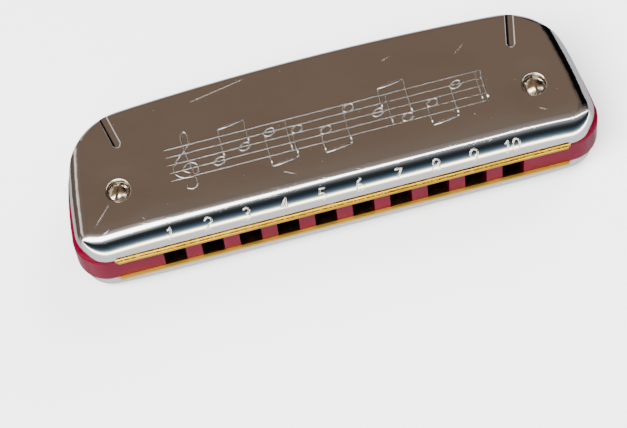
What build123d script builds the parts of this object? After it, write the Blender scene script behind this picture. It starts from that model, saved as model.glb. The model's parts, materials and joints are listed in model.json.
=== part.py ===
from build123d import *
import os

# A ten-hole diatonic harmonica, as an assembly of separate pieces.
#
# A plastic comb with ten open chambers is the core. A brass reed plate lies in a recess on each face of
# it: the blow plate on top carries its reeds inside the chambers, the draw plate below carries its reeds
# on the outside. Two drawn steel covers close the top and bottom, open at the rear so that the sound gets
# out, and two long screws with nuts clamp covers and comb together at the ends.
#
# Frame: X along the row of holes with hole 1 (the lowest notes) at -X, the mouthpiece faces -Y, +Z up.
# Origin: bottom centre of the overall box, where the harmonica rests on its lower cover. Millimetres.

# ---- overall layout
HOLES = 10
HOLE_PITCH = 7.5
HOLE_WIDTH = 4.35
COMB_CORE = 6.4                 # height of the holes: distance between the two reed plates
PLATE_THICK = 0.9
COVER_HEIGHT = 5.9              # from the reed plate's outer face to the top of the cover
HEIGHT = COMB_CORE + 2 * PLATE_THICK + 2 * COVER_HEIGHT
MID_Z = HEIGHT / 2
PLATE_OUT = COMB_CORE / 2 + PLATE_THICK      # outer face of a reed plate, above mid height

# ---- plan shape, shared by comb and covers: straight front, bowed tapering ends, bowed rear
COVER_FRONT = -14.55
END_X, END_MID, END_REAR = 51.75, (50.95, -2.5), (47.1, 12.9)
COVER_REAR = 15.0               # at the middle of the rear bow
FRONT_CORNER = 5.8
REAR_CORNER = 12.8

# ---- comb
COMB_FRONT = -14.9
COMB_GROW = 0.7                 # how far the comb stands out past the covers at the ends
COMB_REAR = 15.5
RIM_DROP = 0.15                 # the comb's rim stays this much below the reed plate's outer face
RIM_ROUND = 0.8
PLATE_FIT = 0.1                 # gap around a reed plate in its recess
CHAMBER_END_GAP = 0.6           # from a blow reed's root to the chamber's rear wall

# ---- reed plates
PLATE_FRONT = -15.5
PLATE_REAR = 11.3
PLATE_HALF = 45.9
PLATE_CORNER = (1.3, 1.1)       # cut off each front corner, along X and Y
PLATE_REAR_ROUND = 8.0
PLATE_EDGE_ROUND = 0.35

# ---- reeds: a long flexing tongue and a root that is riveted to the plate
TONGUE_LONG, TONGUE_SHORT = 15.5, 9.5        # hole 1 and hole 10
TONGUE_WIDTH = 2.1
REED_THICK = 0.25
REED_TILT = 1.0                 # degrees: the tip stands off its plate by this much at rest
SLOT_SIDE_GAP = 0.06
SLOT_END_GAP = 0.1
ROOT_WIDTH, ROOT_LENGTH = 3.2, 2.8
DRAW_FLEX_Y = -10.5             # line where every draw reed leaves its root
BLOW_TIP_Y = -12.0              # line where every blow reed ends
RIVET_R, RIVET_HEAD_R, RIVET_HEAD = 0.6, 1.0, 0.4
RIVET_FIT = 0.02

# ---- covers
SHEET = 0.5
FLAT_HALF = 34.0                # the top is flat out to here, then falls away to the ends
CROWN_R = 120.0
FRONT_BEND = 3.6
BEND_RUNOUT = 4.4               # how far behind the rear the wide bend runs out
REAR_BEND = 1.0
WINDOW_HALF, WINDOW_TOP, WINDOW_ROUND = 38.2, 4.0, 1.0
FLUTE_R, FLUTE_DEPTH = 1.3, 0.38
FLUTE_FRONT, FLUTE_BACK = (39.4, 6.4), (41.2, 14.4)

# ---- cover screws (M2, slotted pan head) and nuts
SCREW_X, SCREW_Y = 41.3, -3.4
POCKET_R, POCKET_FLARE, POCKET_DEPTH = 2.1, 0.18, 1.3
POCKET_ROUND, POCKET_MOUTH = 0.2, 0.3
SCREW_R, SCREW_CLEAR = 1.0, 0.1
HEAD_R, HEAD_H, HEAD_DOME = 1.88, 1.35, 0.7
HEAD_SLOT = (0.55, 0.75)        # width and depth
SLOT_TURNS = (62, 98)           # degrees, left and right screw, as they were tightened
NUT_FLATS, NUT_H = 3.5, 1.2
POST_R = 2.5
POST_FIT = 0.1

# ---- reed plate screws (1.6 mm self-tapping, slotted)
TAP_R, TAP_LENGTH, TAP_HOLE_R, TAP_CLEAR = 0.8, 3.0, 0.82, 0.1
TAP_HEAD_R, TAP_HEAD_H, TAP_DOME = 1.5, 0.8, 0.5
TAP_SLOT = (0.35, 0.35)
TAP_TURN, TAP_POINT = 37, 0.5   # each slot stands this many degrees further round; chamfer of the screw's end
TAP_PLACES = [(x, -11.4) for x in (-22.5, 0.0, 22.5)] + [(x, 9.2) for x in (-30, -15, 0, 15, 30)]

FAR = 60.0                      # more than the whole object, for cutting tools


def hole_x(hole):
    """Centre line of a hole, counted from 1."""
    return (hole - (HOLES + 1) / 2) * HOLE_PITCH


def tongue_length(hole):
    """Free length of the two reeds at a hole: long for the low notes."""
    return TONGUE_LONG + (TONGUE_SHORT - TONGUE_LONG) * (hole - 1) / (HOLES - 1)


def blow_flex_y(hole):
    """Line where a blow reed leaves its root: the tips are level, the roots step forward."""
    return BLOW_TIP_Y + tongue_length(hole)


def chamber_rear_y(hole):
    return blow_flex_y(hole) + ROOT_LENGTH + CHAMBER_END_GAP


def plan_face(front, rear, grow, front_round, rear_round):
    """The body's plan: front and rear are its Y limits, grow moves the two ends outwards."""
    start = (END_X + grow, front)
    middle = (END_MID[0] + grow, END_MID[1])
    corner = (END_REAR[0] + grow, END_REAR[1] + rear - COVER_REAR)

    def mirrored(point):
        return (-point[0], point[1])

    edges = [
        Line(mirrored(start), start),
        ThreePointArc(start, middle, corner),
        ThreePointArc(corner, (0, rear), mirrored(corner)),
        ThreePointArc(mirrored(corner), mirrored(middle), mirrored(start)),
    ]
    face = make_face(Wire(edges))
    face = fillet(face.vertices().group_by(Axis.Y)[0], front_round)
    ends = [Vector(*corner), Vector(*mirrored(corner))]
    rear_corners = [v for v in face.vertices() if min((Vector(*v) - end).length for end in ends) < 0.01]
    return fillet(rear_corners, rear_round)


def box_between(low, high):
    """A box given by its lowest and highest corners."""
    size = [b - a for a, b in zip(low, high)]
    centre = [(a + b) / 2 for a, b in zip(low, high)]
    return Pos(*centre) * Box(*size)


def peg(radius, low, high, x=0.0, y=0.0):
    """A vertical cylinder from z = low to z = high."""
    return Pos(x, y, (low + high) / 2) * Cylinder(radius, high - low)


# ---------------------------------------------------------------- covers
def crown_block(top):
    """Everything under the cover's top surface: flat in the middle, falling to the ends on a large radius."""
    reach = FAR - FLAT_HALF
    drop = CROWN_R - (CROWN_R**2 - reach**2) ** 0.5
    half = reach / 2
    half_drop = CROWN_R - (CROWN_R**2 - half**2) ** 0.5
    left, right = -FLAT_HALF, FLAT_HALF
    profile = make_face(Wire([
        Line((-FAR, 0), (FAR, 0)),
        Line((FAR, 0), (FAR, top - drop)),
        ThreePointArc((FAR, top - drop), (right + half, top - half_drop), (right, top)),
        Line((right, top), (left, top)),
        ThreePointArc((left, top), (left - half, top - half_drop), (-FAR, top - drop)),
        Line((-FAR, top - drop), (-FAR, 0)),
    ]))
    return extrude(Plane.XZ * profile, FAR, both=True)


def top_rim(solid):
    """The edges around the top surface, without the ones inside it."""
    edges = [e for f in solid.faces() if f.normal_at().Z > 0.5 for e in f.edges()]
    return [e for e in edges if sum(e.is_same(other) for other in edges) == 1]


def bent_block(plan, top, bend):
    """The plan raised to the crowned top, with its upper edge bent round."""
    block = extrude(plan, COVER_HEIGHT + 1) & crown_block(top)
    return fillet(top_rim(block.solid()), bend)


def cover_form(inset):
    """Solid form of a cover, its surface moved in by inset. The bend is wide at the mouthpiece and along the
    ends, where it runs out behind the cover, and tight along the rear."""
    front, rear, top = COVER_FRONT + inset, COVER_REAR - inset, COVER_HEIGHT - inset
    corners = (FRONT_CORNER - inset, REAR_CORNER - inset)
    tight = bent_block(plan_face(front, rear, -inset, *corners), top, REAR_BEND - inset)
    wide = bent_block(plan_face(front, rear + BEND_RUNOUT, -inset, *corners), top, FRONT_BEND - inset)
    return tight & wide


def crown_top(x):
    """Height of the cover's top surface at x, above the reed plate."""
    past = max(0.0, abs(x) - FLAT_HALF)
    return COVER_HEIGHT - (CROWN_R - (CROWN_R**2 - past**2) ** 0.5)


def flute(side, grow):
    """Tool for the pressed groove at a rear corner, with a round front end."""
    lift = FLUTE_R - FLUTE_DEPTH
    start = Vector(side * FLUTE_FRONT[0], FLUTE_FRONT[1], crown_top(FLUTE_FRONT[0]) + lift)
    end = Vector(side * FLUTE_BACK[0], FLUTE_BACK[1], crown_top(FLUTE_BACK[0]) + lift)
    run = end - start
    rod = extrude(Plane(start, z_dir=run) * Circle(FLUTE_R + grow), run.length * 1.4)
    return rod + Pos(*start) * Sphere(FLUTE_R + grow)


def pocket_floor():
    """Height of the screw pocket's floor above the reed plate."""
    return crown_top(SCREW_X) - POCKET_DEPTH


def pocket(side, grow):
    """Tool for the dished pocket that a screw head or nut sits in, with a rounded foot."""
    slant = (1 + POCKET_FLARE**2) ** 0.5
    low, high = pocket_floor() - grow, COVER_HEIGHT + 1
    foot = POCKET_R + grow * (slant - POCKET_FLARE)
    mouth = foot + (high - low) * POCKET_FLARE
    tool = Pos(side * SCREW_X, SCREW_Y, (low + high) / 2) * Cone(foot, mouth, high - low)
    return fillet(tool.edges().group_by(Axis.Z)[0], POCKET_ROUND + grow)


def round_mouth(solid, side):
    """Rounds the edge where the sheet bends down into a screw pocket."""
    axis = Vector(side * SCREW_X, SCREW_Y)

    def around(edge):
        spots = [(Vector(p.X, p.Y) - axis).length for p in edge.positions([0, 0.3, 0.7])]
        return max(spots) < POCKET_R + COVER_HEIGHT * POCKET_FLARE and min(spots) > POCKET_R

    upper = solid.edges().filter_by_position(Axis.Z, pocket_floor() + 2 * POCKET_ROUND, COVER_HEIGHT)
    return fillet([e for e in upper if around(e)], POCKET_MOUTH)


def cover():
    """A cover as it lies on the upper reed plate, with z = 0 on the plate."""
    outside, inside = cover_form(0.0), cover_form(SHEET)
    for side in (-1, 1):
        outside = round_mouth(outside - pocket(side, 0.0), side)
        outside -= flute(side, 0.0)
        inside -= pocket(side, SHEET)
        inside -= flute(side, SHEET)
    shell = outside - inside
    for side in (-1, 1):
        shell -= peg(SCREW_R + SCREW_CLEAR, -1, COVER_HEIGHT + 1, side * SCREW_X, SCREW_Y)
    window = box_between((-WINDOW_HALF, 5.0, -5.0), (WINDOW_HALF, FAR, WINDOW_TOP))
    window = fillet(window.edges().filter_by(Axis.Y).group_by(Axis.Z)[-1], WINDOW_ROUND)
    return (shell - window).solid()


# ---------------------------------------------------------------- reed plates and reeds
def plate_plan(grow):
    """Plan of a reed plate, made larger by grow for its recess."""
    half, cut_x, cut_y = PLATE_HALF + grow, *PLATE_CORNER
    front, rear = PLATE_FRONT, PLATE_REAR + grow
    corners = [(-half + cut_x, front), (half - cut_x, front), (half, front + cut_y), (half, rear),
               (-half, rear), (-half, front + cut_y)]
    face = make_face(Wire.make_polygon(corners))
    return fillet(face.vertices().group_by(Axis.Y)[-1], PLATE_REAR_ROUND)


def reed_plate(slots, rivets):
    """A reed plate lying on z = 0 with its outer face up. slots are (x, y from, y to), rivets (x, y)."""
    plate = extrude(plate_plan(0.0), PLATE_THICK)
    lip = plate.edges().filter_by(Axis.X).group_by(Axis.Y)[0].sort_by(Axis.Z)[-1]
    plate = fillet(lip, PLATE_EDGE_ROUND)
    half = TONGUE_WIDTH / 2 + SLOT_SIDE_GAP
    for x, y0, y1 in slots:
        plate -= box_between((x - half, y0, -1), (x + half, y1, PLATE_THICK + 1))
    for x, y in rivets:
        plate -= peg(RIVET_R + RIVET_FIT, -1, PLATE_THICK + 1, x, y)
    for x, y in TAP_PLACES:
        plate -= peg(TAP_R + TAP_CLEAR, -1, PLATE_THICK + 1, x, y)
    for side in (-1, 1):
        plate -= peg(POST_R + POST_FIT, -1, PLATE_THICK + 1, side * SCREW_X, SCREW_Y)
    return plate.solid()


def draw_root_y():
    """Centre of a draw reed's root. It meets the tongue's rounded end, half a reed's thickness away."""
    return DRAW_FLEX_Y - REED_THICK / 2 - ROOT_LENGTH / 2


def blow_root_y(hole):
    return blow_flex_y(hole) + REED_THICK / 2 + ROOT_LENGTH / 2


def slot_spans():
    """Where the slots lie in Y, for the draw plate and for the blow plate."""
    draw, blow = [], []
    for hole in range(1, HOLES + 1):
        x, length = hole_x(hole), tongue_length(hole)
        draw.append((x, DRAW_FLEX_Y - SLOT_END_GAP, DRAW_FLEX_Y + length + SLOT_END_GAP))
        blow.append((x, BLOW_TIP_Y - SLOT_END_GAP, blow_flex_y(hole) + SLOT_END_GAP))
    return draw, blow


def tongue(hole, flex_y, face_z, points_to, away):
    """A reed's moving tongue: it turns about flex_y, where its end is rounded so that it rolls on the root,
    and runs towards points_to (+1 or -1 in Y). It lies on a plate face at face_z, on the side that away
    (+1 or -1 in Z) points to."""
    length = tongue_length(hole)
    strip = box_between((-TONGUE_WIDTH / 2, 0, -REED_THICK / 2), (TONGUE_WIDTH / 2, length, REED_THICK / 2))
    strip += Rot(Y=90) * Cylinder(REED_THICK / 2, TONGUE_WIDTH)
    strip = Rot(X=REED_TILT) * strip
    if points_to < 0:
        strip = mirror(strip, about=Plane.XZ)
    if away < 0:
        strip = mirror(strip, about=Plane.XY)
    return (Pos(hole_x(hole), flex_y, face_z + away * REED_THICK / 2) * strip).solid()


def root(x, y, face_z, away):
    """A reed's root, riveted to the plate face at face_z."""
    far_z = face_z + away * REED_THICK
    low, high = sorted((face_z, far_z))
    block = box_between((x - ROOT_WIDTH / 2, y - ROOT_LENGTH / 2, low),
                        (x + ROOT_WIDTH / 2, y + ROOT_LENGTH / 2, high))
    block = chamfer(block.edges().filter_by(Axis.Z), 0.3)
    return (block - peg(RIVET_R + RIVET_FIT, low - 1, high + 1, x, y)).solid()


def rivet(x, y, face_z, away):
    """A reed rivet: a shank flush with the plate's other face, and a domed head on the reed's root."""
    shank = peg(RIVET_R, 0, PLATE_THICK + REED_THICK, 0, 0)
    base = PLATE_THICK + REED_THICK
    head = fillet(peg(RIVET_HEAD_R, base, base + RIVET_HEAD).edges().group_by(Axis.Z)[-1], RIVET_HEAD * 0.8)
    body = shank + head
    if away < 0:
        body = mirror(body, about=Plane.XY)
    return (Pos(x, y, face_z - away * PLATE_THICK) * body).solid()


# ---------------------------------------------------------------- fasteners
def slotted_screw(head_r, head_h, dome, slot, shank_r, shank_length, turn, point=0.0):
    """A slotted screw with its domed head on z = 0 and its shank running down."""
    ball_r = (head_r**2 + dome**2) / (2 * dome)
    head = peg(head_r, 0, head_h) & Pos(0, 0, head_h - ball_r) * Sphere(ball_r)
    head -= Rot(Z=turn) * Pos(0, 0, head_h) * Box(head_r * 3, slot[0], slot[1] * 2)
    shank = peg(shank_r, -shank_length, 0)
    if point:
        shank = chamfer(shank.edges().group_by(Axis.Z)[0], point)
    return (head + shank).solid()


def nut(bore_r):
    """A thin hexagon nut standing on z = 0."""
    blank = extrude(RegularPolygon(NUT_FLATS / 2, 6, major_radius=False), NUT_H)
    corner_r = NUT_FLATS / 3**0.5
    blank &= chamfer(peg(corner_r, 0, NUT_H).edges(), 0.2)
    return (blank - peg(bore_r, -1, NUT_H + 1)).solid()


# ---------------------------------------------------------------- comb
def comb():
    """The comb about z = 0: body, chambers, recesses for the plates and posts for the cover screws."""
    half_rim = PLATE_OUT - RIM_DROP
    plan = plan_face(COMB_FRONT, COMB_REAR, COMB_GROW, FRONT_CORNER + COMB_GROW / 2, REAR_CORNER + COMB_GROW)
    body = Pos(0, 0, -half_rim) * extrude(plan, 2 * half_rim)
    rims = body.edges().group_by(Axis.Z)
    body = fillet(rims[0] + rims[-1], RIM_ROUND)
    recess = extrude(plate_plan(PLATE_FIT), FAR)
    body -= Pos(0, 0, COMB_CORE / 2) * recess
    body -= Pos(0, 0, -COMB_CORE / 2 - FAR) * recess
    for hole in range(1, HOLES + 1):
        x = hole_x(hole)
        body -= box_between((x - HOLE_WIDTH / 2, -FAR, -FAR), (x + HOLE_WIDTH / 2, chamber_rear_y(hole), FAR))
    post_top = PLATE_OUT + pocket_floor() - SHEET
    for side in (-1, 1):
        body += peg(POST_R, -post_top, post_top, side * SCREW_X, SCREW_Y)
        body -= peg(SCREW_R + SCREW_CLEAR, -FAR, FAR, side * SCREW_X, SCREW_Y)
    for x, y in TAP_PLACES:
        body -= peg(TAP_HOLE_R, -FAR, FAR, x, y)
    return body.solid()


def assemble():
    """Every piece at its place about mid height, as {node name: list of solids}."""
    draw_slots, blow_slots = slot_spans()
    holes = range(1, HOLES + 1)
    inner = COMB_CORE / 2
    draw_rivets = [(hole_x(h), draw_root_y()) for h in holes]
    blow_rivets = [(hole_x(h), blow_root_y(h)) for h in holes]
    one_cover = cover()
    parts = {
        "comb": [comb()],
        "blow_reed_plate": [Pos(0, 0, inner) * reed_plate(blow_slots, blow_rivets)],
        "draw_reed_plate": [Pos(0, 0, -inner) * mirror(reed_plate(draw_slots, draw_rivets), about=Plane.XY)],
        "upper_cover": [Pos(0, 0, PLATE_OUT) * one_cover],
        "lower_cover": [Pos(0, 0, -PLATE_OUT) * mirror(one_cover, about=Plane.XY)],
        "blow_reed_roots": [root(x, y, inner, -1) for x, y in blow_rivets],
        "draw_reed_roots": [root(x, y, -PLATE_OUT, -1) for x, y in draw_rivets],
        "blow_reed_rivets": [rivet(x, y, inner, -1) for x, y in blow_rivets],
        "draw_reed_rivets": [rivet(x, y, -PLATE_OUT, -1) for x, y in draw_rivets],
    }
    for h in holes:
        parts[f"blow_reed_{h:02d}"] = [tongue(h, blow_flex_y(h), inner, -1, -1)]
        parts[f"draw_reed_{h:02d}"] = [tongue(h, DRAW_FLEX_Y, -PLATE_OUT, 1, -1)]

    seat = PLATE_OUT + pocket_floor()
    parts["cover_screws"] = [
        Pos(side * SCREW_X, SCREW_Y, seat)
        * slotted_screw(HEAD_R, HEAD_H, HEAD_DOME, HEAD_SLOT, SCREW_R, 2 * seat + NUT_H, turn)
        for side, turn in zip((-1, 1), SLOT_TURNS)
    ]
    parts["cover_nuts"] = [
        Pos(side * SCREW_X, SCREW_Y, -seat - NUT_H) * nut(SCREW_R + RIVET_FIT) for side in (-1, 1)
    ]
    tapping = [
        Pos(x, y, PLATE_OUT)
        * slotted_screw(TAP_HEAD_R, TAP_HEAD_H, TAP_DOME, TAP_SLOT, TAP_R, PLATE_THICK + TAP_LENGTH,
                        TAP_TURN * n, TAP_POINT)
        for n, (x, y) in enumerate(TAP_PLACES)
    ]
    parts["blow_plate_screws"] = tapping
    parts["draw_plate_screws"] = [mirror(screw, about=Plane.XY) for screw in tapping]
    return parts


def main():
    os.makedirs("parts", exist_ok=True)
    for name, solids in assemble().items():
        placed = [Pos(0, 0, MID_Z) * s for s in solids]
        shape = placed[0] if len(placed) == 1 else Compound(children=placed)
        export_step(shape, f"parts/{name}.step")


main()
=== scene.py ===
"""Looks for the ten-hole harmonica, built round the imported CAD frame. Lengths are in metres, except that
materials and the strokes of the stamping are worked out in millimetres."""
import json
import math

import bmesh
import bpy
from mathutils import Matrix, Vector, bvhtree

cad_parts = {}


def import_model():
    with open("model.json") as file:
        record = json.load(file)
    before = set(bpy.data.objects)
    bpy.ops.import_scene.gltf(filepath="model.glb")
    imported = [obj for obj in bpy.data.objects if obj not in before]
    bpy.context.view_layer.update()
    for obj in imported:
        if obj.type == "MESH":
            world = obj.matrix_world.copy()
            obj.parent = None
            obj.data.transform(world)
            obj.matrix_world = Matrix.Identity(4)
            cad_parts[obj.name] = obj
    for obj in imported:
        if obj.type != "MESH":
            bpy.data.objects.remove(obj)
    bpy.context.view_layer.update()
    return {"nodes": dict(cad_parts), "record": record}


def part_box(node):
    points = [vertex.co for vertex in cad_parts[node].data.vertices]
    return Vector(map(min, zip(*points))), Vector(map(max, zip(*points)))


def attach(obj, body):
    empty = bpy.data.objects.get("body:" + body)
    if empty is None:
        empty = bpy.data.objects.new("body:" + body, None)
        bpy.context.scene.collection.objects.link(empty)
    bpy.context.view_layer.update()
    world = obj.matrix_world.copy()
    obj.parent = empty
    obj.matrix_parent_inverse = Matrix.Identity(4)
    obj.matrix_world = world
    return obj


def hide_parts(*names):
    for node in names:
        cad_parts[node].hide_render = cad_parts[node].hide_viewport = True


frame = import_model()
NODES = frame["nodes"]
BODY = "harmonica"
MM = 0.001


def box_in_mm(node):
    """A node's lowest and highest corners, in millimetres."""
    return [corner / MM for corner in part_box(node)]


# ---- places that the materials need, in millimetres
MID_LEVEL = 10.0                # mid height of the harmonica
PLATE_LOW, PLATE_HIGH = box_in_mm("blow_reed_plate")
PLATE_INNER = PLATE_LOW.z - MID_LEVEL        # faces of a reed plate, from mid height
PLATE_OUTER = PLATE_HIGH.z - MID_LEVEL
PLATE_FRONT = PLATE_LOW.y
COMB_FRONT = box_in_mm("comb")[0].y
SCREWS_LOW, SCREWS_HIGH = box_in_mm("cover_screws")
SCREW_Y = (SCREWS_LOW.y + SCREWS_HIGH.y) / 2
SCREW_X = SCREWS_HIGH.x - (SCREWS_HIGH.y - SCREWS_LOW.y) / 2


# ------------------------------------------------------------------ node helpers
class Nodes:
    """Short calls for building one node tree."""

    def __init__(self, tree):
        self.tree = tree

    def put(self, n, key, value):
        """Sets or links one input. A colour is given by its three parts."""
        socket = n.inputs[key]
        if isinstance(value, bpy.types.NodeSocket):
            self.tree.links.new(value, socket)
        elif socket.type == "RGBA":
            socket.default_value = (*value, 1)
        else:
            socket.default_value = value

    def node(self, kind, **inputs):
        """A new node. The inputs are named as in Blender, with _ for a space."""
        n = self.tree.nodes.new(kind)
        for key, value in inputs.items():
            self.put(n, key.replace("_", " "), value)
        return n

    def noise(self, vector, scale=1.0, detail=3.0, rough=0.5, distortion=0.0):
        n = self.node("ShaderNodeTexNoise", Vector=vector, Scale=scale, Detail=detail, Roughness=rough,
                      Distortion=distortion)
        return n.outputs["Fac"]

    def ramp(self, value, stops):
        """A colour for each value, from stops of (value, colour)."""
        n = self.node("ShaderNodeValToRGB", Fac=value)
        elements = n.color_ramp.elements
        while len(elements) < len(stops):
            elements.new(0.5)
        for element, (at, colour) in zip(elements, stops):
            element.position = at
            element.color = (*colour, 1)
        return n.outputs["Color"]

    def spread(self, value, low, high, to_low=0.0, to_high=1.0, smooth=False):
        """Maps low..high onto to_low..to_high, and holds it there outside."""
        n = self.node("ShaderNodeMapRange", Value=value, From_Min=low, From_Max=high, To_Min=to_low,
                      To_Max=to_high)
        n.interpolation_type = "SMOOTHERSTEP" if smooth else "LINEAR"
        return n.outputs["Result"]

    def math(self, what, a, b=0.0):
        n = self.tree.nodes.new("ShaderNodeMath")
        n.operation = what
        self.put(n, 0, a)
        self.put(n, 1, b)
        return n.outputs[0]

    def plus(self, a, b):
        return self.math("ADD", a, b)

    def minus(self, a, b):
        return self.math("SUBTRACT", a, b)

    def times(self, a, b):
        return self.math("MULTIPLY", a, b)

    def most(self, a, b):
        return self.math("MAXIMUM", a, b)

    def absolute(self, a):
        return self.math("ABSOLUTE", a)

    def mixed(self, factor, a, b, how="MIX"):
        """A colour between a and b."""
        n = self.tree.nodes.new("ShaderNodeMix")
        n.data_type = "RGBA"
        n.blend_type = how
        for key, value in (("Factor", factor), (6, a), (7, b)):
            self.put(n, key, value)
        return n.outputs[2]

    def xyz(self, vector):
        return self.node("ShaderNodeSeparateXYZ", Vector=vector).outputs


class Shader(Nodes):
    """The nodes of one new material."""

    def __init__(self, name):
        self.material = bpy.data.materials.new(name)
        self.material.use_nodes = True
        super().__init__(self.material.node_tree)
        self.bsdf = self.tree.nodes["Principled BSDF"]
        self.coords = self.tree.nodes.new("ShaderNodeTexCoord").outputs["Object"]

    def set(self, **inputs):
        """Sets or links inputs of the surface, named as for node."""
        for key, value in inputs.items():
            self.put(self.bsdf, key.replace("_", " "), value)

    def in_mm(self, stretch=(1, 1, 1), turn=0.0):
        """Object coordinates in millimetres, turned about Z and then stretched."""
        turned = self.node("ShaderNodeMapping", Vector=self.coords, Rotation=(0, 0, math.radians(turn)))
        scale = tuple(v / MM for v in stretch)
        return self.node("ShaderNodeMapping", Vector=turned.outputs["Vector"], Scale=scale).outputs["Vector"]

    def bump(self, height, strength, distance):
        n = self.node("ShaderNodeBump", Height=height, Strength=strength, Distance=distance)
        self.set(Normal=n.outputs["Normal"])


# ------------------------------------------------------------------ steel
# scratches on the covers' plan: start, end and half width
SCRATCHES = [((-43.5, -5.6), (-47.6, -9.8), 0.05), ((-44.6, -10.6), (-46.2, -11.6), 0.05),
             ((-38.2, -9.9), (-37.4, -11.2), 0.05), ((-10.0, -8.2), (-7.2, -9.6), 0.04),
             ((14.0, 9.5), (16.5, 10.4), 0.05), ((28.0, 7.0), (31.0, 9.4), 0.04),
             ((-24.0, 11.2), (-12.0, 13.4), 0.06), ((40.5, -8.4), (42.8, -9.6), 0.05)]
SCRATCH_WOBBLE, SCRATCH_FADE_IN, SCRATCH_FADE_OUT = 0.12, 0.6, 1.5
POLISH = 0.045                  # roughness of the clean steel
DISH_INNER, DISH_OUTER, DISH_DEPTH = 1.6, 7.5, 16.0     # radii round a screw pocket, and depth in bump units


def streaks(s, turn, fineness, low, high):
    """Long thin marks along one direction, as a mask."""
    marks = s.noise(s.in_mm((0.06, fineness, fineness), turn), detail=2.0, rough=0.6)
    patches = s.noise(s.in_mm((0.12, 0.12, 0.12), turn), detail=2.0)
    return s.times(s.spread(marks, low, high), s.spread(patches, 0.45, 0.62))


def line_mask(s, start, end, width):
    """A nearly straight scratch between two points of the plan, as a mask that fades at both ends."""
    x, y, _ = s.xyz(s.in_mm())
    along = Vector((end[0] - start[0], end[1] - start[1]))
    length = along.length
    along.normalize()
    px, py = s.minus(x, start[0]), s.minus(y, start[1])
    run = s.plus(s.times(px, along.x), s.times(py, along.y))
    off = s.absolute(s.minus(s.times(py, along.x), s.times(px, along.y)))
    wobble = s.times(s.noise(s.in_mm(), 0.9, 2.0), SCRATCH_WOBBLE)
    across = s.spread(s.absolute(s.minus(off, wobble)), width, width * 0.3)
    inside = s.times(s.spread(run, 0.0, SCRATCH_FADE_IN), s.spread(run, length, length - SCRATCH_FADE_OUT))
    return s.times(across, inside)


def dished(s, height):
    """The height, with the sheet dished softly round both screw pockets."""
    for x in (-SCREW_X, SCREW_X):
        near = s.node("ShaderNodeVectorMath", Vector=s.in_mm((1, 1, 0)))
        near.operation = "DISTANCE"
        near.inputs[1].default_value = (x, SCREW_Y, 0)
        dish = s.spread(near.outputs["Value"], DISH_INNER, DISH_OUTER, -DISH_DEPTH, 0.0, smooth=True)
        height = s.plus(height, dish)
    return height


def cover_material():
    """Polished steel, with hairline scratches, faint smears and a few longer scratches."""
    s = Shader("cover_steel_polished")
    fine = s.most(streaks(s, 12, 5.0, 0.60, 0.74), streaks(s, -31, 6.0, 0.62, 0.76))
    fine = s.most(fine, streaks(s, 78, 5.5, 0.63, 0.78))
    smear = s.spread(s.noise(s.in_mm((0.05, 0.09, 0.09), 20), 1.0, 4.0, 0.6, 0.4), 0.42, 0.72)
    scratch = 0.0
    for start, end, width in SCRATCHES:
        scratch = s.most(scratch, line_mask(s, start, end, width))
    pits = s.spread(s.noise(s.in_mm(), 2.4, 1.0), 0.80, 0.84)
    damage = s.most(scratch, pits)
    rough = s.plus(POLISH, s.times(smear, 0.05))
    rough = s.plus(rough, s.times(fine, 0.10))
    rough = s.plus(rough, s.times(damage, 0.45))
    tint = s.mixed(smear, (0.86, 0.85, 0.84), (0.80, 0.785, 0.77))
    tint = s.mixed(damage, tint, (0.98, 0.98, 0.98))
    wave = s.noise(s.in_mm((0.10, 0.16, 0.16)), detail=1.0)
    height = s.plus(s.times(fine, -0.4), s.times(scratch, -2.0))
    height = s.plus(height, s.times(wave, 3.0))
    s.set(Base_Color=tint, Roughness=rough, Metallic=1.0)
    s.bump(dished(s, height), 0.12, 0.1 * MM)
    return s.material


def fastener_material():
    """Worn nickel-plated steel, with fine slanting marks and brown grime."""
    s = Shader("fastener_nickel")
    grime = s.spread(s.noise(s.in_mm((0.9, 0.9, 0.9)), 1.0, 4.0, 0.65), 0.48, 0.72)
    marks = s.noise(s.in_mm((0.8, 6.0, 6.0), 35), detail=2.0)
    base = s.mixed(s.times(grime, 0.6), (0.80, 0.69, 0.54), (0.34, 0.22, 0.11))
    s.set(Base_Color=base, Metallic=1.0, Roughness=s.spread(marks, 0.3, 0.8, 0.12, 0.30))
    s.bump(s.plus(marks, grime), 0.25, 0.05 * MM)
    return s.material


# ------------------------------------------------------------------ plastic and floor
def comb_material():
    """Dark red moulded plastic: glossy, with faint flow marks and worn, lighter specks."""
    s = Shader("comb_plastic_gloss")
    flow = s.noise(s.in_mm((0.05, 0.12, 0.2)), 1.0, 2.0, 0.5, 0.6)
    specks = s.spread(s.noise(s.in_mm(), 3.2, 2.0), 0.70, 0.80)
    base = s.ramp(flow, [(0.3, (0.076, 0.0001, 0.0085)), (0.7, (0.096, 0.0002, 0.0110))])
    base = s.mixed(s.times(specks, 0.3), base, (0.30, 0.015, 0.05))
    rough = s.spread(s.noise(s.in_mm((0.3, 0.3, 0.3)), 1.0, 4.0, 0.65), 0.3, 0.75, 0.14, 0.27)
    s.set(Base_Color=base, Roughness=rough, Metallic=0.0, IOR=1.5, Specular_IOR_Level=0.08)
    height = s.plus(s.times(s.noise(s.in_mm(), 6.0, 3.0), 0.25), s.times(flow, 1.2))
    s.bump(height, 0.06, 0.05 * MM)
    return s.material


def floor_material():
    """A matt pale tabletop with a very faint mottle."""
    s = Shader("floor_pale")
    mottle = s.noise(s.in_mm((0.01, 0.01, 0.01)))
    base = s.ramp(mottle, [(0.3, (0.87, 0.87, 0.88)), (0.7, (0.90, 0.90, 0.90))])
    s.set(Base_Color=base, Roughness=0.7, Specular_IOR_Level=0.2)
    return s.material


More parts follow.
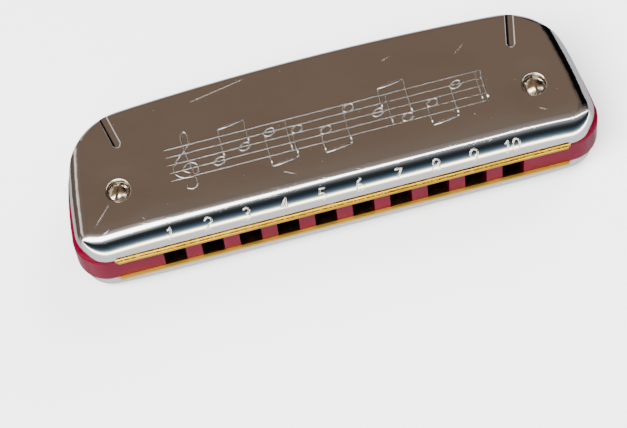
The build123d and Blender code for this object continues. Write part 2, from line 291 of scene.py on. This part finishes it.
# ------------------------------------------------------------------ brass
PLATE_BRASS, PLATE_TARNISH = (0.80, 0.45, 0.020), (0.28, 0.13, 0.008)
REED_BRASS, REED_TARNISH = (0.90, 0.60, 0.20), (0.62, 0.36, 0.10)
CHAMBER_SHADE_BRASS = (0.40, 0.26, 0.11)           # painted shade inside the chambers, darker than the lit brass
LIP_PAINTED_LIGHT = (1.0, 0.64, 0.085)               # painted highlight on the lower plate's lip
# colour of the painted shade line just behind a plate's front edge
SHADE_LINE_DARK = (0.050, 0.028, 0.008)
SAW_SLANT = -18                              # degrees
SAW_MIDDLE, SAW_END = 14.0, 34.0             # distance from the middle where the saw marks grow, in mm
SHADE_LINE_BEHIND = 0.28                          # from the plate's front to the painted shade line, in mm
SHADE_LINE_WANDER, SHADE_LINE_OUTER, SHADE_LINE_INNER = 0.10, 0.14, 0.08     # that line's wandering and half widths, in mm


def saw_marks(s, x, y):
    """Slanting marks across a plate's front edge, strongest at the two ends, as a mask."""
    marks = s.noise(s.in_mm((4.5, 0.5, 0.5), SAW_SLANT), detail=2.0, rough=0.6)
    marks = s.times(marks, s.spread(y, COMB_FRONT + 0.7, COMB_FRONT + 0.3))
    return s.times(marks, s.spread(s.absolute(x), SAW_MIDDLE, SAW_END, 0.3, 1.0))


def shear_line(s, y, level):
    """A thin wandering line of painted shade along a plate's outer face, just behind its front edge, as a
    mask.
    """
    wander = s.times(s.minus(s.noise(s.in_mm((0.5, 0.01, 0.01))), 0.5), SHADE_LINE_WANDER)
    offset = s.absolute(s.plus(s.minus(y, PLATE_FRONT + SHADE_LINE_BEHIND), wander))
    line = s.spread(offset, SHADE_LINE_OUTER, SHADE_LINE_INNER)
    outer_face = s.spread(level, PLATE_OUTER - 0.5, PLATE_OUTER - 0.1)
    breaks = s.spread(s.noise(s.in_mm((3.0, 3.0, 3.0), SAW_SLANT), detail=2.0), 0.25, 0.5)
    return s.times(s.times(line, outer_face), breaks)


def plate_marks(s, base, dark, height, roughness):
    """Adds what a reed plate has besides its grain: saw marks, painted shade inside the chambers, a thin line
    of painted shade with a shallow bump groove just behind the front edge, a rougher edge beside the holes,
    and on the lower plate a painted highlight on the lip."""
    x, y, z = s.xyz(s.in_mm())
    level = s.absolute(s.minus(z, MID_LEVEL))
    lip = s.spread(y, COMB_FRONT + 0.05, COMB_FRONT - 0.05)
    saw = saw_marks(s, x, y)
    base = s.mixed(s.spread(saw, 0.60, 0.70, 0.0, 0.7), base, dark)
    # painted shade: the plates' inner faces behind the comb's front are darkened
    chamber_shade = s.times(s.spread(level, PLATE_INNER + 0.4, PLATE_INNER),
                          s.spread(y, COMB_FRONT, COMB_FRONT + 0.5))
    base = s.mixed(chamber_shade, base, CHAMBER_SHADE_BRASS)
    # painted highlight: the lower plate's lip in front of the comb is made lighter than the lamps leave it
    lip_painted_light = s.times(s.spread(z, MID_LEVEL - 2.0, MID_LEVEL - 3.0), lip)
    base = s.mixed(s.times(lip_painted_light, 0.8), base, LIP_PAINTED_LIGHT)
    # painted shade: a thin dark line just behind the plate's front edge, with a shallow bump groove along it
    shade_line_mask = shear_line(s, y, level)
    base = s.mixed(s.times(shade_line_mask, 0.9), base, SHADE_LINE_DARK)
    height = s.plus(s.plus(height, s.times(saw, 0.9)), s.times(shade_line_mask, -1.5))
    inner_ledge = s.times(s.spread(level, PLATE_INNER + 0.5, PLATE_INNER + 0.1), lip)
    return base, height, s.plus(roughness, s.times(inner_ledge, 0.25))


def brass_material(name, colour, dark, turn, rough, grain, plate=False):
    """Brass with a drawn grain along one direction, and tarnish in patches."""
    s = Shader(name)
    lines = s.noise(s.in_mm((0.05, 7.0, 7.0), turn), 1.0, 3.0, 0.6)
    tarnish = s.spread(s.noise(s.in_mm((0.15, 0.3, 0.3)), 1.0, 5.0, 0.62, 0.5), 0.46, 0.80)
    base = s.mixed(s.times(tarnish, 0.5), colour, dark)
    base = s.mixed(s.spread(lines, 0.45, 0.75, 0.0, 0.35), base, dark)
    height = s.times(lines, grain)
    roughness = s.spread(s.plus(lines, s.times(tarnish, 0.5)), 0.3, 1.1, *rough)
    if plate:
        base, height, roughness = plate_marks(s, base, dark, height, roughness)
    s.set(Base_Color=base, Roughness=roughness, Metallic=1.0)
    s.bump(height, 0.35, 0.06 * MM)
    return s.material


# ------------------------------------------------------------------ materials on the CAD nodes
MATERIALS = {
    "cover_steel": cover_material(),
    "comb_plastic": comb_material(),
    "plate_brass": brass_material("plate_brass_rolled", PLATE_BRASS, PLATE_TARNISH, turn=0,
                                  rough=(0.15, 0.28), grain=1.0, plate=True),
    "reed_brass": brass_material("reed_brass_ground", REED_BRASS, REED_TARNISH, turn=90,
                                 rough=(0.20, 0.36), grain=0.7),
    "fastener_steel": fastener_material(),
}
for part in frame["record"]["subparts"]:
    skin = NODES[part["node"]].data.materials
    skin.clear()
    skin.append(MATERIALS[part["material_slot"]])


# ------------------------------------------------------------------ stamped cover
COVER_LOW, COVER_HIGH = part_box("upper_cover")
COVER_FOOT = COVER_LOW.z
COVER_HEIGHT = COVER_HIGH.z - COVER_FOOT
FRONT_BEND = 3.6 * MM           # outer radius of the bend along the front
BEND_AXIS = (COVER_LOW.y + FRONT_BEND, COVER_HIGH.z - FRONT_BEND)
TOP_DROP = 0.10 * MM            # how much the whole top sinks, as room for the stamping
EASE_START, EASE_SPAN = -5.5 * MM, 5.5 * MM     # where the top begins to ease down in front, and over what
EASE_DROP = 0.24 * MM           # how much more the top sinks one span in front of the start
EASE_ROWS = 9                   # cuts across the flat top, so that it can curve
DRAFT = 0.34 * MM               # how far the front wall's foot moves forward
PRESS_STEP = 0.001 * MM         # for finding how the pressing turns a normal
CUT_TOLERANCE = 0.0001 * MM


def own_piece(name, mesh, slot):
    """A new piece of the instrument's body."""
    obj = bpy.data.objects.new(name, mesh)
    bpy.context.scene.collection.objects.link(obj)
    mesh.materials.clear()
    mesh.materials.append(MATERIALS[slot])
    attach(obj, BODY)
    return obj


def pressed(y, z):
    """Where the cover's sheet at (y, z) goes. Heights above its foot shrink, a little everywhere and more
    towards the mouthpiece, and the front wall leans out at the foot."""
    rise = z - COVER_FOOT
    past = max(0.0, (EASE_START - y) / EASE_SPAN)
    forward = min(1.0, max(0.0, (BEND_AXIS[0] - y) / FRONT_BEND))
    shrink = (TOP_DROP + EASE_DROP * past**2) / COVER_HEIGHT
    return y - DRAFT * forward**2 * (1 - rise / COVER_HEIGHT), COVER_FOOT + rise * (1 - shrink)


def pressed_normal(place, normal):
    """A normal of the sheet after pressing, from where short steps along Y and Z go."""
    here = pressed(place.y, place.z)
    ahead = pressed(place.y + PRESS_STEP, place.z)
    above = pressed(place.y, place.z + PRESS_STEP)
    y_ahead, z_ahead = ((ahead[k] - here[k]) / PRESS_STEP for k in (0, 1))
    y_above, z_above = ((above[k] - here[k]) / PRESS_STEP for k in (0, 1))
    turned = Vector(((y_ahead * z_above - y_above * z_ahead) * normal.x,
                     z_above * normal.y - z_ahead * normal.z,
                     y_ahead * normal.z - y_above * normal.y))
    return turned.normalized()


def stamped_cover():
    """The upper cover again, pressed low enough that the stamping on it stays inside the CAD box. The
    sheet's own normals go with it."""
    mesh = NODES["upper_cover"].data.copy()
    mesh.name = "upper_cover_stamped"
    bm = bmesh.new()
    bm.from_mesh(mesh)
    layer = bm.loops.layers.float_vector.new("sheet_normal")
    normals = iter([n.vector.copy() for n in mesh.corner_normals])
    for face in bm.faces:
        for loop in face.loops:
            loop[layer] = next(normals)
    for i in range(EASE_ROWS):
        y = EASE_START - EASE_SPAN * i / (EASE_ROWS - 1)
        bmesh.ops.bisect_plane(bm, geom=bm.verts[:] + bm.edges[:] + bm.faces[:], plane_co=(0, y, 0),
                               plane_no=(0, 1, 0), dist=CUT_TOLERANCE)
    corner_normals = [pressed_normal(loop.vert.co, loop[layer]) for face in bm.faces for loop in face.loops]
    for v in bm.verts:
        v.co.y, v.co.z = pressed(v.co.y, v.co.z)
    bm.loops.layers.float_vector.remove(layer)
    bm.to_mesh(mesh)
    bm.free()
    mesh.normals_split_custom_set(corner_normals)
    obj = own_piece("upper_cover_stamped", mesh, "cover_steel")
    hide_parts("upper_cover")
    return obj


def cover_caster(cover):
    """Returns cast(origin, direction): where a ray meets the cover's outside, and the normal there."""
    tree = bvhtree.BVHTree.FromObject(cover, bpy.context.evaluated_depsgraph_get())
    return lambda origin, direction: tree.ray_cast(origin, direction)[:2]


# ------------------------------------------------------------------ beads
# a bead's section from foot to foot, in widths and heights of the bead
BEAD_SECTION = ((-0.5, -0.5), (-0.46, 0.25), (-0.25, 0.82), (0, 1), (0.25, 0.82), (0.46, 0.25), (0.5, -0.5))
BEAD_END = 0.45                 # size of a bead's two ends
CLOSED_WITHIN = 0.001 * MM


def arc(cx, cy, rx, ry, start, end, steps=14):
    """Points on an ellipse from start to end, in degrees."""
    angles = [math.radians(start + (end - start) * i / steps) for i in range(steps + 1)]
    return [(cx + rx * math.cos(a), cy + ry * math.sin(a)) for a in angles]


def smoothed(points, steps=5):
    """A smooth curve through the points."""
    ends = [points[0]] + points + [points[-1]]
    out = []
    for a, b, c, d in zip(ends, ends[1:], ends[2:], ends[3:]):
        for t in (i / steps for i in range(steps)):
            out.append(tuple(0.5 * (2 * b[k] + (c[k] - a[k]) * t
                                    + (2 * a[k] - 5 * b[k] + 4 * c[k] - d[k]) * t**2
                                    + (3 * b[k] - a[k] - 3 * c[k] + d[k]) * t**3) for k in (0, 1)))
    return out + [points[-1]]


def resampled(points, step):
    """The polyline with its runs divided so that no piece is longer than step."""
    out = [points[0]]
    for (x0, y0), (x1, y1) in zip(points, points[1:]):
        count = max(1, math.ceil(math.hypot(x1 - x0, y1 - y0) / step))
        out += [(x0 + (x1 - x0) * i / count, y0 + (y1 - y0) * i / count) for i in range(1, count + 1)]
    return out


def bead(bm, points, on_surface, width, height, step):
    """A low rounded ridge along a polyline, closed where the polyline is. on_surface turns one of its points
    into a place and a normal."""
    spots = [on_surface(u, v) for u, v in resampled(points, step)]
    closed = (spots[0][0] - spots[-1][0]).length < CLOSED_WITHIN
    if closed:
        spots.pop()
    count = len(spots)
    rings = []
    for i, (place, normal) in enumerate(spots):
        before = spots[(i - 1) % count][0] if closed or i else place
        after = spots[(i + 1) % count][0] if closed or i < count - 1 else place
        side = (after - before).normalized().cross(normal).normalized()
        taper = BEAD_END if not closed and i in (0, count - 1) else 1.0
        rings.append([bm.verts.new(place + side * a * width * taper + normal * b * height * taper)
                      for a, b in BEAD_SECTION])
    pairs = list(zip(rings, rings[1:])) + ([(rings[-1], rings[0])] if closed else [])
    for one, two in pairs:
        for k in range(len(BEAD_SECTION)):
            bm.faces.new((one[k - 1], one[k], two[k], two[k - 1]))
    if not closed:
        bm.faces.new(rings[0][::-1])
        bm.faces.new(rings[-1])


def beads_piece(name, strokes, height):
    """One piece from several ridges: strokes are (points, on_surface, width, step)."""
    bm = bmesh.new()
    for points, on_surface, width, step in strokes:
        bead(bm, points, on_surface, width, height, step)
    bmesh.ops.recalc_face_normals(bm, faces=bm.faces[:])
    mesh = bpy.data.meshes.new(name)
    bm.to_mesh(mesh)
    bm.free()
    mesh.polygons.foreach_set("use_smooth", [True] * len(mesh.polygons))
    return own_piece(name, mesh, "cover_steel")


# ------------------------------------------------------------------ numerals
HOLES = 10
HOLE_PITCH = 7.5 * MM
NUMERAL_ANGLE = math.radians(66)     # where the numerals' middle stands on the front bend, from the top
NUMERAL_WIDTH, NUMERAL_HEIGHT, NUMERAL_STEP = 0.40 * MM, 0.17 * MM, 0.2 * MM     # of their beads
NUMERAL_LEAN = 0.12             # sideways for each unit up
DIGIT_PITCH = 1.75 * MM
RAY_START = 10 * MM             # from the bend's axis, outside the sheet
# each digit's strokes in millimetres, in a box 1.6 wide and 3 tall, about its middle
DIGITS = {
    "0": [arc(0, 0, 0.72, 1.38, 90, 450, 26)],
    "1": [[(-0.5, 0.78), (-0.1, 1.0), (0.12, 1.4), (0.12, -1.35)], [(-0.3, -1.38), (0.54, -1.38)]],
    "2": [arc(0, 0.68, 0.7, 0.72, 170, -35) + [(-0.62, -1.3)], [(-0.72, -1.36), (0.76, -1.36)]],
    "3": [arc(-0.05, 0.7, 0.62, 0.66, 150, -88) + arc(-0.05, -0.66, 0.74, 0.74, 88, -150)],
    "4": [[(0.3, -1.4), (0.3, 1.35), (-0.72, -0.45), (0.78, -0.45)]],
    "5": [[(0.6, 1.36), (-0.5, 1.36), (-0.56, 0.22)] + arc(-0.08, -0.5, 0.78, 0.86, 128, -140)],
    "6": [arc(0.62, 0.1, 1.26, 1.34, 108, 186) + arc(0.02, -0.62, 0.72, 0.76, 180, -180, 22)],
    "7": [[(-0.7, 1.34), (0.72, 1.34), (0.1, 0.1), (-0.14, -1.38)]],
    "8": [arc(0, 0.7, 0.6, 0.66, -90, 270, 22), arc(0, -0.68, 0.74, 0.74, 90, 450, 22)],
    "9": [arc(-0.62, -0.1, 1.26, 1.34, -72, 6) + arc(-0.02, 0.62, 0.72, 0.76, 0, 360, 22)],
}


def on_front_bend(cast, middle):
    """Returns on_surface(u, v) for a digit on the front bend, about x = middle."""
    def on_surface(u, v):
        angle = NUMERAL_ANGLE - v / FRONT_BEND
        out = Vector((0, -math.sin(angle), math.cos(angle)))
        axis = Vector((middle + u, *BEND_AXIS))
        return cast(axis + out * RAY_START, -out)[0], out

    return on_surface


def numerals(cast):
    """The holes' numbers along the front bend, as one piece."""
    strokes = []
    for hole in range(1, HOLES + 1):
        text = str(hole)
        for k, digit in enumerate(text):
            middle = (hole - (HOLES + 1) / 2) * HOLE_PITCH + (k - (len(text) - 1) / 2) * DIGIT_PITCH
            for stroke in DIGITS[digit]:
                points = [((u + NUMERAL_LEAN * v) * MM, v * MM) for u, v in stroke]
                strokes.append((points, on_front_bend(cast, middle), NUMERAL_WIDTH, NUMERAL_STEP))
    return beads_piece("numerals_stamped", strokes, NUMERAL_HEIGHT)


# ------------------------------------------------------------------ stave
# places, lengths and widths in millimetres, apart from the beads' height
STAVE_HEIGHT = 0.097 * MM
STAVE_Y, STAVE_GAP = -1.0, 1.7
STAVE_LEFT, STAVE_RIGHT = -31.0, 32.0
STAVE_TOP, STAVE_BOTTOM = STAVE_Y + 2 * STAVE_GAP, STAVE_Y - 2 * STAVE_GAP
LINE_WIDTH, BAR_WIDTH, LAST_BAR_WIDTH = 0.17, 0.22, 0.5
CURVE_WIDTH, STEM_WIDTH, BEAM_WIDTH = 0.34, 0.3, 0.62
BARS = ((-7, BAR_WIDTH), (13, BAR_WIDTH), (STAVE_RIGHT - 1.1, BAR_WIDTH), (STAVE_RIGHT, LAST_BAR_WIDTH))
# a plain G clef as one stroke, in gaps of the stave, about the line of G
CLEF = [(0.15, -0.55), (-0.3, -0.1), (-0.15, 0.5), (0.45, 0.7), (0.98, 0.25), (0.9, -0.55), (0.15, -1.05),
        (-0.8, -0.75), (-1.2, 0.15), (-0.85, 1.25), (0.05, 2.3), (0.7, 3.3), (0.72, 4.3), (0.45, 4.75),
        (0.15, 4.3), (0.1, 3.3), (0.3, 1.2), (0.55, -0.9), (0.6, -1.9), (0.2, -2.5), (-0.35, -2.35),
        (-0.3, -1.9)]
CLEF_X, CLEF_STRETCH = STAVE_LEFT + 3.6, 1.25
NOTES = (-2, 0, 2, 1, -1, 3, 0, -3, -1, 2)      # steps above the middle line, two to a gap
NOTES_X, NOTE_PITCH = STAVE_LEFT + 10, 5.3
NOTE_LENGTH, NOTE_BREADTH, NOTE_LEAN = 1.12, 0.74, math.radians(22)     # half a head's length and breadth
STEM_X, STEM_Y = 1.08, 0.3      # where a stem leaves its note, from the note's middle
BEAM_PAST, BEAM_RISE = 1.9, 0.35     # from the stave's edge to a beam's middle, and from there to its end


def note_head(x, y):
    """A hollow note head, leaning, as a closed ring."""
    c, s = math.cos(NOTE_LEAN), math.sin(NOTE_LEAN)
    level = arc(0, 0, NOTE_LENGTH, NOTE_BREADTH, 0, 360, 24)
    ring = [(x + a * c - b * s, y + a * s + b * c) for a, b in level]
    return ring[:-1] + ring[:1]


def beamed(first, second):
    """Two stems and the beam that joins them, as (points, width): up from low notes, down from high ones."""
    up = (first[1] + second[1]) / 2 <= STAVE_Y
    sign = 1 if up else -1
    level = STAVE_TOP + BEAM_PAST if up else STAVE_BOTTOM - BEAM_PAST
    beam = [(x + sign * STEM_X, level + rise) for (x, _), rise in ((first, -BEAM_RISE), (second, BEAM_RISE))]
    stems = [[(end[0], y + sign * STEM_Y), end] for (_, y), end in zip((first, second), beam)]
    return [(stem, STEM_WIDTH) for stem in stems] + [(beam, BEAM_WIDTH)]


def stave(cast):
    """A stave of plain notes along the middle of the cover, as one piece."""
    def on_top(u, v):
        return cast(Vector((u, v, 1)), Vector((0, 0, -1)))

    strokes = []

    def add(points, width, step=2.0):
        strokes.append(([(u * MM, v * MM) for u, v in points], on_top, width * MM, step * MM))

    for k in range(-2, 3):
        add([(x, STAVE_Y + k * STAVE_GAP) for x in (STAVE_LEFT, STAVE_RIGHT)], LINE_WIDTH)
    for x, width in BARS:
        add([(x, STAVE_BOTTOM), (x, STAVE_TOP)], width)
    add([(CLEF_X + u * CLEF_STRETCH * STAVE_GAP, STAVE_Y + (v - 1) * STAVE_GAP) for u, v in smoothed(CLEF)],
        CURVE_WIDTH, step=0.6)
    heads = [(NOTES_X + i * NOTE_PITCH, STAVE_Y + step * STAVE_GAP / 2) for i, step in enumerate(NOTES)]
    for x, y in heads:
        add(note_head(x, y), CURVE_WIDTH)
    for first, second in zip(heads[::2], heads[1::2]):
        for points, width in beamed(first, second):
            add(points, width)
    return beads_piece("stave_stamped", strokes, STAVE_HEIGHT)


cover = stamped_cover()
bpy.context.view_layer.update()
cast = cover_caster(cover)
numerals(cast)
stave(cast)


# ------------------------------------------------------------------ floor
FLOOR_REACH = 6.0


def floor():
    """A wide flat floor at the height where the harmonica rests."""
    mesh = bpy.data.meshes.new("floor")
    corners = [(x * FLOOR_REACH, y * FLOOR_REACH, 0) for x, y in ((-1, -1), (1, -1), (1, 1), (-1, 1))]
    mesh.from_pydata(corners, [], [(0, 1, 2, 3)])
    obj = bpy.data.objects.new("floor", mesh)
    bpy.context.scene.collection.objects.link(obj)
    obj.data.materials.append(floor_material())
    obj.visible_glossy = False      # polished steel mirrors the studio's lower half instead


# ------------------------------------------------------------------ studio
# colours round the length axis by turn: 0 straight down, 0.25 the front horizon, 0.5 the zenith, 0.75 behind
ROUND_THE_LENGTH = [
    (0.000, (1.04, 1.04, 1.14)),
    (0.110, (1.08, 1.08, 1.17)),
    (0.150, (1.14, 1.14, 1.16)),
    (0.185, (1.45, 1.43, 1.26)),
    (0.200, (2.20, 2.15, 1.75)),
    (0.214, (8.00, 7.60, 5.00)),
    (0.236, (8.00, 7.60, 5.00)),
    (0.256, (1.10, 1.20, 1.15)),
    (0.280, (0.20, 0.28, 0.36)),
    (0.310, (0.060, 0.095, 0.140)),
    (0.340, (0.022, 0.030, 0.040)),
    (0.374, (0.026, 0.030, 0.034)),
    (0.400, (0.10, 0.11, 0.12)),
    (0.425, (0.30, 0.31, 0.33)),
    (0.455, (0.46, 0.44, 0.43)),
    (0.500, (0.30, 0.26, 0.235)),
    (0.530, (0.23, 0.185, 0.155)),
    (0.565, (0.195, 0.140, 0.102)),
    (0.640, (0.175, 0.120, 0.088)),
    (0.680, (0.14, 0.097, 0.070)),
    (0.715, (0.40, 0.37, 0.33)),
    (0.760, (0.75, 0.75, 0.78)),
    (1.000, (0.60, 0.60, 0.63)),
]
# colours of the two side walls by height: 0 straight down, 0.5 the horizon, 1 the zenith
RIGHT_WALL = [(0.0, (0.55, 0.55, 0.58)), (0.50, (0.70, 0.70, 0.74)), (0.56, (0.62, 0.62, 0.66)),
              (0.585, (0.004, 0.004, 0.004)), (0.83, (0.004, 0.004, 0.004)), (0.87, (0.12, 0.09, 0.07))]
LEFT_WALL = [(0.0, (0.55, 0.55, 0.58)), (0.28, (0.80, 0.80, 0.80)), (0.36, (0.12, 0.09, 0.07)),
             (0.60, (0.16, 0.12, 0.10)), (0.66, (1.2, 1.15, 1.0)), (0.69, (1.2, 1.15, 1.0)),
             (0.77, (0.20, 0.15, 0.12)), (0.9, (0.19, 0.135, 0.10))]
# where the walls begin and are complete, in the direction's x, and the rear half that they stand in, in its y
RIGHT_EDGE, LEFT_EDGE, REAR_HALF = (0.40, 0.48), (-0.34, -0.50), (-0.05, 0.25)
STRIP_TURN = 0.456              # middle of the bright strip
STRIP_HALF = (0.029, 0.0065)    # its half width in turns, on the left and on the right
STRIP_NARROWS = (-0.04, 0.11)   # between these, in the direction's x
STRIP_LIGHT, STRIP_EDGE = 9.0, (1.3, 0.6)     # its light, and where that begins and is full, in half widths
HAZE_LIGHT, HAZE_EDGE = 0.5, (2.6, 0.9)


def bright_strip(n, turn, dx):
    """Light from the strip: broad towards the left, a thin line to the right, with a faint haze about it."""
    half = n.spread(dx, *STRIP_NARROWS, *STRIP_HALF)
    off = n.math("DIVIDE", n.absolute(n.minus(turn, STRIP_TURN)), half)
    return n.plus(n.spread(off, *STRIP_EDGE, 0.0, STRIP_LIGHT), n.spread(off, *HAZE_EDGE, 0.0, HAZE_LIGHT))


def world():
    """A studio room in directions. In front, from straight down, it has pale ground, a bright cream band
    just below the horizon, a dark wall and a bright strip. Then come a warm brown ceiling and a pale wall
    behind. The rear half also has a side wall on the right, mostly black above the horizon, and one on the
    left, brown with a bright band."""
    w = bpy.data.worlds.new("studio")
    bpy.context.scene.world = w
    w.use_nodes = True
    n = Nodes(w.node_tree)
    direction = n.tree.nodes.new("ShaderNodeTexCoord").outputs["Generated"]
    dx, dy, dz = n.xyz(direction)
    around = n.math("DIVIDE", n.math("ARCTAN2", dz, n.times(dy, -1.0)), 2 * math.pi)
    turn = n.math("FRACT", n.plus(around, 0.25))
    light = n.mixed(1.0, n.ramp(turn, ROUND_THE_LENGTH), bright_strip(n, turn, dx), "ADD")
    behind, height = n.spread(dy, *REAR_HALF), n.spread(dz, -1.0, 1.0)
    for wall, edge in ((RIGHT_WALL, RIGHT_EDGE), (LEFT_WALL, LEFT_EDGE)):
        light = n.mixed(n.times(n.spread(dx, *edge), behind), light, n.ramp(height, wall))
    n.put(n.tree.nodes["Background"], "Color", light)
    n.put(n.tree.nodes["Background"], "Strength", 1.0)


def softbox(name, place, side, watts):
    """A square white area light, aimed at the origin and not seen in the steel."""
    data = bpy.data.lights.new(name, "AREA")
    data.shape = "SQUARE"
    data.size = side
    data.energy = watts
    obj = bpy.data.objects.new(name, data)
    bpy.context.scene.collection.objects.link(obj)
    obj.location = place
    obj.rotation_euler = (-Vector(place)).to_track_quat("-Z", "Y").to_euler()
    obj.visible_glossy = False


# ------------------------------------------------------------------ camera
CAMERA_AZIMUTH, CAMERA_ELEVATION, CAMERA_ROLL = (math.radians(a) for a in (-6.70, 64.11, -8.42))
CAMERA_AIM = Vector((0, -1.4 * MM, 10 * MM))     # mid height, 1.4 mm in front of the box's middle
CAMERA_SHIFT = (2.73 * MM, 12.27 * MM)           # how far the aim is right of and above the picture's middle
CAMERA_DISTANCE = 561.5 * MM
CAMERA_LENS, SENSOR_WIDTH = 165.2, 36            # millimetres, as Blender takes them
CLIP_START = 10 * MM


def camera():
    """A long lens, high above the mouthpiece's side and rolled a little."""
    a, e, r = CAMERA_AZIMUTH, CAMERA_ELEVATION, CAMERA_ROLL
    back = Vector((math.sin(a) * math.cos(e), -math.cos(a) * math.cos(e), math.sin(e)))
    right = Vector((math.cos(a), math.sin(a), 0))
    up = back.cross(right)
    turned_right = math.cos(r) * right + math.sin(r) * up
    turned_up = -math.sin(r) * right + math.cos(r) * up
    axes = Matrix((turned_right, turned_up, back)).transposed()
    place = CAMERA_AIM + axes @ Vector((-CAMERA_SHIFT[0], -CAMERA_SHIFT[1], CAMERA_DISTANCE))
    data = bpy.data.cameras.new("camera")
    data.lens = CAMERA_LENS
    data.sensor_width = SENSOR_WIDTH
    data.clip_start = CLIP_START
    obj = bpy.data.objects.new("camera", data)
    bpy.context.scene.collection.objects.link(obj)
    obj.matrix_world = Matrix.Translation(place) @ axes.to_4x4()
    bpy.context.scene.camera = obj


floor()
world()
softbox("key_softbox", place=(-0.5, -0.5, 1.3), side=1.0, watts=80)
softbox("fill_softbox", place=(0.9, 0.7, 1.2), side=1.2, watts=50)
camera()
